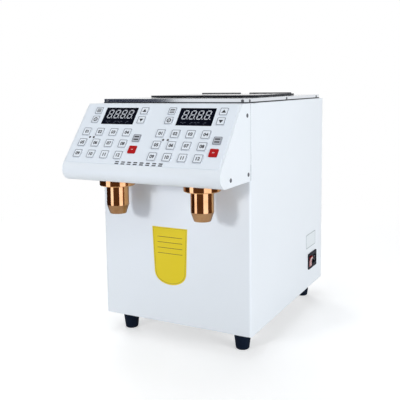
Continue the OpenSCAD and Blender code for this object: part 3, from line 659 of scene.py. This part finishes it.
def flat_figures(text, size, bold):
    """The points and faces of figures in the built-in face, centred and seen from above."""
    curve = bpy.data.curves.new("figures", "FONT")
    curve.body = text
    curve.size = size
    curve.align_x = "CENTER"
    curve.align_y = "CENTER"
    curve.resolution_u = 3
    curve.offset = bold
    holder = placed("figures", curve)
    flat = bpy.data.meshes.new_from_object(holder)
    points = np.zeros(len(flat.vertices) * 3, np.float32)
    flat.vertices.foreach_get("co", points)
    points = points.reshape(-1, 3)[:, :2].astype(float)
    points -= (points.min(0) + points.max(0)) / 2
    polygons = [list(p.vertices) for p in flat.polygons]
    bpy.data.objects.remove(holder)
    bpy.data.curves.remove(curve)
    bpy.data.meshes.remove(flat)
    a, b, c = (points[v] for v in polygons[0][:3])
    if (b[0] - a[0]) * (c[1] - a[1]) < (b[1] - a[1]) * (c[0] - a[0]):
        polygons = [p[::-1] for p in polygons]
    return points, polygons


def words(plane, text, size, bold):
    """Printed figures: their faces raised, the same faces turned over below, and walls between."""
    points, polygons = flat_figures(text, size, bold)
    n = len(points)
    edges = [edge for p in polygons for edge in zip(p, p[1:] + p[:1])]
    known = set(edges)
    walls = [[u, v, v + n, u + n] for u, v in edges if (v, u) not in known]
    faces = [[v + n for v in p] for p in polygons] + [p[::-1] for p in polygons] + walls
    return np.vstack([plane.at(points, -SUNK), plane.at(points, PRINT)]), faces


def pan_screw(plane, r, h):
    """A pan head with a cross recess, on a grid of share of the radius and angle.

    The dome is h times the root of 1 less 0.85 of the share cubed. The cross takes 0.75 of h off
    it where the smaller of |x| and |y| is under 0.16 of r and the larger is under 0.62 of r.
    """
    sides, steps = 48, 11
    t = np.arange(sides) * 2 * math.pi / sides
    share = np.linspace(1, 0.04, steps)[:, None]
    x, y = share * r * np.cos(t), share * r * np.sin(t)
    dome = h * np.sqrt(np.clip(1 - 0.85 * share**3.0, 0, 1)) * np.ones_like(x)
    arm = np.minimum(np.abs(x), np.abs(y))
    reach = np.maximum(np.abs(x), np.abs(y))
    within = np.clip((0.16 * r - arm) / (0.06 * r), 0, 1)
    within *= np.clip((0.62 * r - reach) / (0.08 * r), 0, 1)
    z = dome - 0.75 * h * within
    rings = [plane.at(np.c_[x[0], y[0]], -SUNK)]
    rings += [plane.at(np.c_[x[k], y[k]], z[k]) for k in range(steps)]
    return stack(rings)


# Keys, displays and prints on the console -----------------------------------------------------

PORTION_KEYS = ["%02d" % (k + 1) for k in range(12)]
AUX_KEYS = {  # x from the keypad's middle, s
    "up": (44.3, 14.5), "down": (44.3, 31.5), "set": (-40.9, 14.5), "mode": (-40.9, 31.5),
    "grey": (48.5, 64.32), "red": (48.5, 84.5),
}
OUTLINE_IN, OUTLINE_R, OUTLINE_W = 0.3, 1.4, 0.9
NUMBER_SIZE, NUMBER_BOLD = 7.4, 0.3
ARROW_SIZE = 3.7
RING_W, RING_R, RING_LINE = 7.4, 3.6, 1.6
DOT_W, DOT_R = 1.8, 0.5
KEY_BARS = {  # width, height, y of each
    "set": (7.8, 1.5, (-2.6, 0, 2.6)),
    "grey": (8.2, 2.2, (-2.4, 2.4)),
    "red": (3.4, 0.7, (0,)),
}

FIGURE_H, FIGURE_W, FIGURE_LEAN = 7.3, 7.2, 0.14  # between bars' middles; x gained per mm up
FIGURE_PITCH, FIGURE_UP = 12.4, 3.4
SEGMENT_HALF_W, LEVEL_GAP, UPRIGHT_GAP = 0.8, 1.0, 0.9
POINT_X, POINT_R = 5.0, 0.8
SMALL_MARKS = (  # y, width, height, x of each
    (-10.2, 3.4, 0.8, (-21, -15.5, -4, 1.5, 7, 18)),
    (-12.4, 2.2, 0.7, (-18, -6, 4, 16)),
)

LENSES = ((-104.5, 64.7), (-97.4, 64.6), (27.9, 65.6), (35.8, 65.6))  # x, s
LENS_R, LENS_T, LENS_EDGE = 1.9, 0.35, 0.25
HEADING_X, HEADING_S, HEADING_PITCH = -36.5, 108.0, 10.7
HEADING_BAR, HEADING_ROWS = (6.6, 1.9, 0.4), (-1.6, 1.6)


def on_slope(x, s, height):
    """The slope's plane, moved to x and s and raised."""
    return SLOPE_PLANE.moved(x, -s, height)


def arrow(plane, size, up):
    """A triangle: base 0.6 of its size under its middle and point 0.9 over it, or the reverse."""
    d = size * (1 if up else -1)
    points = np.array([[-size, -0.6 * d], [size, -0.6 * d], [0, 0.9 * d]])
    return plate(plane, points if up else points[::-1], PRINT)


def key_legend(top, name):
    """What is printed on a key: a number, an arrow, a ring with a dot, or bars."""
    if name.isdigit():
        return [words(top, name, NUMBER_SIZE, NUMBER_BOLD)]
    if name in ("up", "down"):
        return [arrow(top, ARROW_SIZE, name == "up")]
    if name == "mode":
        ring = band(top, rounded_outline(RING_W, RING_W, RING_R), RING_LINE, PRINT)
        return [ring, bar(top, 0, 0, DOT_W, DOT_W, DOT_R)]
    w, h, rows = KEY_BARS[name]
    return [bar(top, 0, y, w, h) for y in rows]


def key_marks(side, middle):
    """The legend of each key of a keypad, and an outline on all but the red one."""
    for k, name in enumerate(PORTION_KEYS + list(AUX_KEYS)):
        if name in AUX_KEYS:
            (x, s), width = AUX_KEYS[name], AUX_W
        else:
            x, s = FIRST_COL + (k % 4) * COL_PITCH, FIRST_ROW + (k // 4) * ROW_PITCH
            width = KEY_W
        top = on_slope(middle + x, s, FILM_T + KEY_PROUD)
        node = "key_%s_%s" % (side, name)
        if name != "red":
            edge = rounded_outline(width - OUTLINE_IN, width - OUTLINE_IN, OUTLINE_R)
            line = band(top, edge, OUTLINE_W, PRINT)
            piece("outline_%s_%s" % (side, name), [line], node, "ink")
        tone = "ink_white" if name == "red" else "ink_black"
        piece("legend_%s_%s" % (side, name), key_legend(top, name), node, tone)


def segment(plane, x, y, length, upright):
    """One bar of a figure: a long hexagon, upright or level, its x moved on by its height."""
    tip, w = length / 2, SEGMENT_HALF_W
    flat = [[-tip, 0], [-tip + w, -w], [tip - w, -w], [tip, 0], [tip - w, w], [-tip + w, w]]
    flat = np.array(flat)
    if upright:
        flat = np.c_[-flat[:, 1], flat[:, 0]]
    flat = flat + [x, y]
    flat[:, 0] += FIGURE_LEAN * flat[:, 1]
    return plate(plane, flat, PRINT)


def display_figures(side, middle):
    """Four leant seven-bar figures, each with a point, and two rows of small marks under them."""
    face = on_slope(middle + DISPLAY_X, DISPLAY_S, FILM_T)
    parts = []
    for k in range(4):
        x = (k - 1.5) * FIGURE_PITCH
        figure = face.moved(x, FIGURE_UP)
        for y in (-FIGURE_H, 0, FIGURE_H):
            parts.append(segment(figure, 0, y, FIGURE_W - LEVEL_GAP, False))
        for bar_x in (-FIGURE_W / 2, FIGURE_W / 2):
            for y in (-FIGURE_H / 2, FIGURE_H / 2):
                parts.append(segment(figure, bar_x, y, FIGURE_H - UPRIGHT_GAP, True))
        point = face.moved(x + POINT_X, FIGURE_UP - FIGURE_H)
        parts.append(disc(point, POINT_R, PRINT, 0, 12))
    piece("figures_%s" % side, parts, "housing", "digit")
    marks = [bar(face, x, y, w, h) for y, w, h, places in SMALL_MARKS for x in places]
    piece("small_marks_%s" % side, marks, "housing", "faint")


for half, sign in HALVES:
    key_marks(half, sign * KEYPAD_PITCH / 2)
    display_figures(half, sign * KEYPAD_PITCH / 2)

lenses = [disc(on_slope(x, s, FILM_T), LENS_R, LENS_T, LENS_EDGE, 20) for x, s in LENSES]
piece("indicator_lenses", lenses, "housing", "lens")

# Two plain rows of short bars near the slope's foot
heading = []
for k in range(8):
    spot = on_slope(HEADING_X + HEADING_PITCH * k, HEADING_S, FILM_T)
    heading += [bar(spot, 0, y, *HEADING_BAR) for y in HEADING_ROWS]
piece("heading_bars", heading, "housing", "ink_black")

# Card, plate, screws, and dark strips of painted shade in gaps and seams -------------------------

CARD_X, CARD_TOP, CARD_WAIST, CARD_ROUND = -7.0, 192.0, 121.0, 24.0
CARD_TOP_ENDS, CARD_WAIST_ENDS, CARD_HALF_W = (-39.6, 25.4), (-36.6, 22.6), 29.6
CARD_T, CARD_EDGE = 0.25, 0.1
CARD_LINE_IN, CARD_LINE_W = 2.2, 0.5
CARD_RULE, CARD_RULES_Z = (46.0, 0.9, 0.3), (176, 167, 158, 149)
PLATE_Y, PLATE_Z, PLATE_T, PLATE_EDGE = 162.0, 123.0, 0.4, 0.15
PLATE_OUTLINE, PLATE_RIM, PLATE_RIM_W = (55.0, 28.0, 1.5), (53.6, 26.6, 1.8), 1.2

CHEEK_SCREWS = ((-138.1, 373.8), (-134.8, 286.8), (-196.3, 286.5))  # y, z
BACK_SCREW_X, BACK_SCREW_ROWS = 128.5, (48, 150, 262, 376)
BACK_TOP_SCREWS = ((-60, 385.0), (60, 385.0))  # x, z
DECK_SCREW_YS, DECK_FRONT_SCREW_X = (-117.0, 41.0, 205.0), 122.0
CHEEK_HEAD, BACK_HEAD, DECK_HEAD = (3.1, 1.0), (2.6, 1.0), (2.4, 0.8)  # radius, height

# Thickness of the dark strips of painted shade, and the height of the one round the foot of the
# deck's rim, for the shadow gap where the deck meets the body
SHADE_STRIP_T = 0.35
GAP_SHADE_LOW, GAP_SHADE_HIGH = TOP_Z + 0.02, TOP_Z + 1.8
# Heights of the dark strip of painted shade round the foot of each lid, for the gap under its edges
LID_SHADE_LOW, LID_SHADE_HIGH = DECK_Z + 0.32, DECK_Z + 3.25
# Dark strips of painted shade along the seam where the hood's sides meet the body: a thin one, and
# a wider one over the lowest 25 mm
SEAM_SHADE_STRIPS = ((346.0, 0.6, 89.4, 0.25), (288.5, 1.3, 25.0, 0.6))  # middle z, width, height, corner
SEAM_T = 0.02


def card_outline():
    """A tapered card: straight sides that lean in, then a curve round the bottom.

    The curve's x goes with the cosine of half a turn, and its drop with the sine to the power
    of 0.85, which makes it a little fuller than an ellipse.
    """
    t = np.linspace(0, math.pi, 37)[1:-1]
    arc = np.c_[CARD_X - CARD_HALF_W * np.cos(t), CARD_WAIST - CARD_ROUND * np.sin(t) ** 0.85]
    left, right = zip(CARD_TOP_ENDS, CARD_WAIST_ENDS)
    down = [[left[0], CARD_TOP], [left[1], CARD_WAIST]]
    up = [[right[1], CARD_WAIST], [right[0], CARD_TOP]]
    return np.vstack([down, arc, up])


card = card_outline()
sheet = plate(FRONT_PLANE, card, CARD_T, CARD_EDGE)
piece("yellow_card", [sheet], "housing", "card")
card_face = FRONT_PLANE.moved(0, 0, CARD_T)
lines = [band(card_face, shrunk(card, CARD_LINE_IN), CARD_LINE_W, PRINT)]
lines += [bar(card_face, CARD_X, z, *CARD_RULE) for z in CARD_RULES_Z]
piece("card_lines", lines, "housing", "card_line")

plate_spot = RIGHT_PLANE.moved(PLATE_Y, PLATE_Z)
sheet = plate(plate_spot, rounded_outline(*PLATE_OUTLINE), PLATE_T, PLATE_EDGE)
piece("side_plate", [sheet], "housing", "plate")
plate_face = plate_spot.moved(0, 0, PLATE_T)
rim = band(plate_face, rounded_outline(*PLATE_RIM), PLATE_RIM_W, PRINT)
piece("plate_border", [rim], "housing", "plate_line")

screws = []
for plane, sign in SIDE_PLANES:
    screws += [pan_screw(plane.moved(sign * y, z), *CHEEK_HEAD) for y, z in CHEEK_SCREWS]
back_screws = [(sign * BACK_SCREW_X, z) for sign in (-1, 1) for z in BACK_SCREW_ROWS]
for x, z in (*back_screws, *BACK_TOP_SCREWS):
    screws.append(pan_screw(BACK_PLANE.moved(x, z), *BACK_HEAD))
piece("panel_screws", screws, "housing", "screw", smooth=True)

deck_screws = []
for sign in (1, -1):
    side = Plane((sign * DECK_X, 0, 0), (0, sign, 0), (0, 0, 1))
    deck_screws += [pan_screw(side.moved(sign * y, DECK_MID), *DECK_HEAD) for y in DECK_SCREW_YS]
    front = FRONT_PLANE.moved(sign * DECK_FRONT_SCREW_X, DECK_MID)
    deck_screws.append(pan_screw(front, *DECK_HEAD))
piece("deck_screws", deck_screws, "housing", "screw", smooth=True)

# A dark strip round the foot of the deck's rim: painted shade for the shadow gap between the deck
# and the body
deck_outline = rounded_outline(2 * DECK_X, DECK_BACK - FRONT_Y, DECK_R)
deck_outline += [0, (DECK_BACK + FRONT_Y) / 2]
deck_gap_shade = collar(deck_outline, GAP_SHADE_LOW, GAP_SHADE_HIGH, SHADE_STRIP_T)
piece("deck_shadow_gap_strip", [deck_gap_shade], "housing", "gap_shade")
# A dark strip round the foot of each lid: painted shade for the gap under the lid's edges
for half, sign in HALVES:
    lid_outline = rounded_outline(LID_W, LID_D, LID_R) + [sign * LID_X, LID_Y]
    gap_shade = collar(lid_outline, LID_SHADE_LOW, LID_SHADE_HIGH, SHADE_STRIP_T)
    piece("lid_gap_shade_" + half, [gap_shade], "lid_" + half, "gap_shade")

# Painted shade along the hood-to-body seam on both sides
seam_shade_strips = []
for plane, sign in SIDE_PLANES:
    for z, w, h, r in SEAM_SHADE_STRIPS:
        seam_shade_strips.append(plate(plane.moved(sign * FRONT_Y, z), rounded_outline(w, h, r, 2), SEAM_T))
piece("console_seam_shade", seam_shade_strips, "housing", "seam")

# Switch and socket ----------------------------------------------------------------------------

ROCKER_REST = math.radians(9)
ROCKER_LEAN = math.atan2(1.6, 9.3)  # of each half of its face, away from the line across both
ROCKER_OUT, ROCKER_ALONG = 4.2, 4.65  # from the pin out to the face, and along to a half's middle
ROCKER_PRINT = 0.04
ON_BAR = (0.9, 4.2, 0.2, 2)
OFF_RING, OFF_LINE = (4.4, 4.4, 2.1), 0.8
PINS = ((-7, -2), (0, 2.5), (7, -2))  # y and z from the socket's middle
PIN_OUTLINE, PIN_CHAMFER = (2.1, 4.1, 0.4, 3), 0.45
PIN_FOOT_X, PIN_SHANK, PIN_LENGTH = 120.2, 11.2, 12.2


def rocker_plane(half):
    """The face of the rocker's upper (1) or lower (-1) half, at the tilt it rests at.

    Its middle lies out from the pin and along from there, both turned by the tilt.
    """
    turn = ROCKER_REST + half * ROCKER_LEAN
    along = half * ROCKER_ALONG
    x = ROCKER_X + ROCKER_OUT * math.cos(ROCKER_REST) + along * math.sin(ROCKER_REST)
    z = ROCKER_Z - ROCKER_OUT * math.sin(ROCKER_REST) + along * math.cos(ROCKER_REST)
    return Plane((x, ROCKER_Y, z), (0, 1, 0), (math.sin(turn), 0, math.cos(turn)))


on_mark = plate(rocker_plane(-1), rounded_outline(*ON_BAR), ROCKER_PRINT)
off_mark = band(rocker_plane(1), rounded_outline(*OFF_RING), OFF_LINE, ROCKER_PRINT)
piece("switch_marks", [on_mark, off_mark], "rocker", "ink_white")

pins = []
pin = rounded_outline(*PIN_OUTLINE)
for dy, dz in PINS:
    foot = Plane((PIN_FOOT_X, SOCKET_Y + dy, SOCKET_Z + dz), (0, 1, 0), (0, 0, 1))
    tip = foot.at(shrunk(pin, PIN_CHAMFER), PIN_LENGTH)
    pins.append(stack([foot.at(pin, 0), foot.at(pin, PIN_SHANK), tip]))
piece("socket_pins", pins, "housing", "pin")

# Floor, world, lamps, reflectors and camera, in metres ----------------------------------------

WHITE = (1, 1, 1, 1)
FLOOR_HALF, FLOOR_TONE, FLOOR_GLOW = 12.0, (0.74, 0.74, 0.74, 1), 0.42
FADE_START, FADE_END = 0.45, 1.1
WORLD_TONE, WORLD_STRENGTH = (0.90, 0.95, 1.0, 1), 0.29

# Name, place, aim, side of the square, watts
LAMPS = (
    ("key_lamp", (-0.72, -1.98, 0.68), (0, 0, 0.25), 0.3, 15.6),
    ("side_lamp", (2.1, -0.6, 0.75), (0, 0, 0.2), 0.9, 28.0),
    ("back_lamp", (-1.5, 1.7, 0.8), (0, 0.1, 0.2), 0.9, 26),
    ("top_lamp", (-0.3, 0.1, 2.2), (0, 0, 0.3), 1.2, 10),
)

# Name, two bearings in degrees from straight ahead, two heights, distance, tone
BROWN, BRIGHT = (0.13, 0.075, 0.05), (1.9, 2.1, 3.0)
REFLECTORS = (
    ("card_far_left", -150, -46, 0.0, 0.25, 0.6, (0.05, 0.024, 0.014)),
    ("strip_left", -46, -19, 0.0, 0.25, 0.6, BRIGHT),
    ("card_middle", -19, 43, 0.0, 0.25, 0.6, BROWN),
    ("strip_right", 43, 83, 0.0, 0.25, 0.6, BRIGHT),
    ("card_right", 83, 126, 0.0, 0.25, 0.6, BROWN),
    ("card_deck", -72, -31, 0.27, 0.47, 1.2, (0.04, 0.045, 0.07)),
)
REFLECTOR_Y, REFLECTOR_STEPS = -0.15, 9

# The camera that the console's, body's and feet's corners were fitted to
CAMERA_PLACE = (0.50409, -0.98448, 0.41749)
AZIMUTH, RISE, ROLL = math.radians(27.85), math.radians(6.63), math.radians(-0.71)
PHOTO_PX, FOCAL_PX, SENSOR_MM = 400, 633.69, 36.0
SHIFT_X, SHIFT_Y = -0.0006, -0.1013
FAR = 60


def pale_floor():
    """White paper that takes the shadows near the machine, and is plain white further off."""
    mesh = bpy.data.meshes.new("floor")
    size = FLOOR_HALF
    corners = [(-size, -size, 0), (size, -size, 0), (size, size, 0), (-size, size, 0)]
    mesh.from_pydata(corners, [], [(0, 1, 2, 3)])
    ground = placed("floor", mesh)
    mat = bpy.data.materials.new("floor_paper")
    net = cleared(mat)
    paper = net.add("ShaderNodeBsdfDiffuse", {"Color": FLOOR_TONE}).outputs[0]
    glow = net.add("ShaderNodeEmission", {"Color": WHITE, "Strength": FLOOR_GLOW}).outputs[0]
    near = net.add("ShaderNodeAddShader")
    net.feed(near.inputs[0], paper)
    net.feed(near.inputs[1], glow)
    white = net.add("ShaderNodeEmission", {"Color": WHITE}).outputs[0]
    away = net.add("ShaderNodeVectorMath", operation="LENGTH")
    net.feed(away.inputs[0], net.place())
    fade = net.ramp(away.outputs["Value"], FADE_START, FADE_END)
    shown = net.mix_shaders(fade, near.outputs[0], white)
    final = net.mix_shaders(net.rays("Camera", "Glossy"), paper, shown)
    net.add("ShaderNodeOutputMaterial", {"Surface": final})
    mesh.materials.append(mat)


def white_world():
    """The light from all round, and plain white wherever the camera or a shiny surface looks."""
    world = bpy.data.worlds.new("studio")
    net = cleared(world)
    light = {"Color": WORLD_TONE, "Strength": WORLD_STRENGTH}
    around = net.add("ShaderNodeBackground", light).outputs[0]
    white = net.add("ShaderNodeBackground", {"Color": WHITE}).outputs[0]
    seen = net.rays("Camera", "Glossy", "Transmission")
    net.add("ShaderNodeOutputWorld", {"Surface": net.mix_shaders(seen, around, white)})
    bpy.context.scene.world = world


def lamp(name, place, aim, size, power):
    """A square soft lamp, which shiny surfaces don't see.

    Its axes are the way back from its aim, the level way across that, and the way up from both.
    """
    data = bpy.data.lights.new(name, "AREA")
    data.size = size
    data.energy = power
    made = placed(name, data)
    made.visible_glossy = False
    back = np.array(place, float) - np.array(aim, float)
    back /= np.linalg.norm(back)
    across = np.cross([0, 0, 1.0], back)
    across /= np.linalg.norm(across)
    up = np.cross(back, across)
    turn = np.c_[across, up, back]
    made.matrix_world = Matrix.Translation(place) @ Matrix(turn.tolist()).to_4x4()


def reflector(name, start, end, foot, head, distance, tone):
    """A card that only shiny surfaces see, to give the metal its stripes.

    It is an upright arc at one distance from the nozzles: x goes with the bearing's sine, and y
    with its cosine.
    """
    n = REFLECTOR_STEPS
    a = np.radians(np.linspace(start, end, n))
    x, y = distance * np.sin(a), REFLECTOR_Y - distance * np.cos(a)
    verts = np.r_[np.c_[x, y, np.full(n, foot)], np.c_[x, y, np.full(n, head)]]
    quads = [(k, k + 1, k + 1 + n, k + n) for k in range(n - 1)]
    mesh = bpy.data.meshes.new(name)
    mesh.from_pydata(verts.tolist(), [], quads)
    mat = bpy.data.materials.new(name)
    net = cleared(mat)
    glow = net.add("ShaderNodeEmission", {"Color": (*tone, 1)}).outputs[0]
    net.add("ShaderNodeOutputMaterial", {"Surface": glow})
    mesh.materials.append(mat)
    made = placed(name, mesh)
    for kind in ("camera", "diffuse", "transmission", "volume_scatter", "shadow"):
        setattr(made, "visible_" + kind, False)


def photo_camera():
    """The photograph's viewpoint: turned to its azimuth, raised, then rolled about its own axis."""
    level = math.cos(RISE)
    back = np.array([math.sin(AZIMUTH) * level, -math.cos(AZIMUTH) * level, math.sin(RISE)])
    x = np.cross([0, 0, 1.0], back)
    x /= np.linalg.norm(x)
    y = np.cross(back, x)
    right = x * math.cos(ROLL) + y * math.sin(ROLL)
    up = -x * math.sin(ROLL) + y * math.cos(ROLL)
    data = bpy.data.cameras.new("camera")
    data.sensor_width = SENSOR_MM
    data.lens = FOCAL_PX / PHOTO_PX * SENSOR_MM
    data.shift_x = SHIFT_X
    data.shift_y = SHIFT_Y
    data.clip_end = FAR
    made = placed("camera", data)
    turn = Matrix(np.c_[right, up, back].tolist()).to_4x4()
    made.matrix_world = Matrix.Translation(CAMERA_PLACE) @ turn
    bpy.context.scene.camera = made


pale_floor()
white_world()
for row in LAMPS:
    lamp(*row)
for row in REFLECTORS:
    reflector(*row)
photo_camera()
bpy.context.scene.view_settings.view_transform = "Standard"
